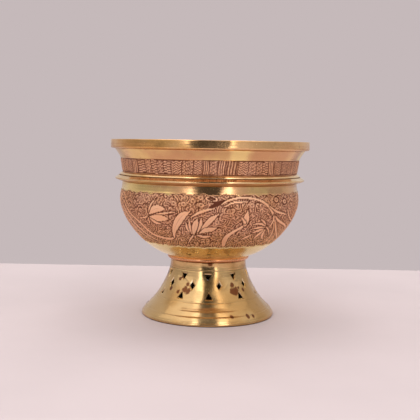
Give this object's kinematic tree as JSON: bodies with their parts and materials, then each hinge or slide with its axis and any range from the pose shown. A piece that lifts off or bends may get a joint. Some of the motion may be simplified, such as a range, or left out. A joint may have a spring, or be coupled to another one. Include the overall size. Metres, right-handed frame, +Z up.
{
  "type": "footed brass bowl",
  "caption": "Round open brass bowl with a heavy rim, a finned waist ring and an engraved belly, clamped on a hollow, flared, pierced foot.",
  "frame": {"origin": "centre of the foot's base ring, on the surface that the bowl stands on", "axes": "+Z up along the bowl's axis of turning; -Y towards the viewer, where an inverted triangle of the piercing stands"},
  "size_m": [0.114, 0.114, 0.1004],
  "materials": {
    "polished_brass": "polished",
    "coppered_brass": "engraved, copper-toned wash",
    "pink_brass": "satin, turned",
    "cast_brass": "cast, turned and polished",
    "plated_steel": "zinc-plated"
  },
  "bodies": {
    "root": {"rim_band": "polished_brass", "neck_collar": "coppered_brass", "waist_flange": "polished_brass", "belly_bowl": "coppered_brass", "base_collar": "pink_brass", "pierced_pedestal": "cast_brass", "fixing_stud": "cast_brass", "fixing_washer": "plated_steel", "fixing_nut": "plated_steel"}
  },
  "joints": []
}
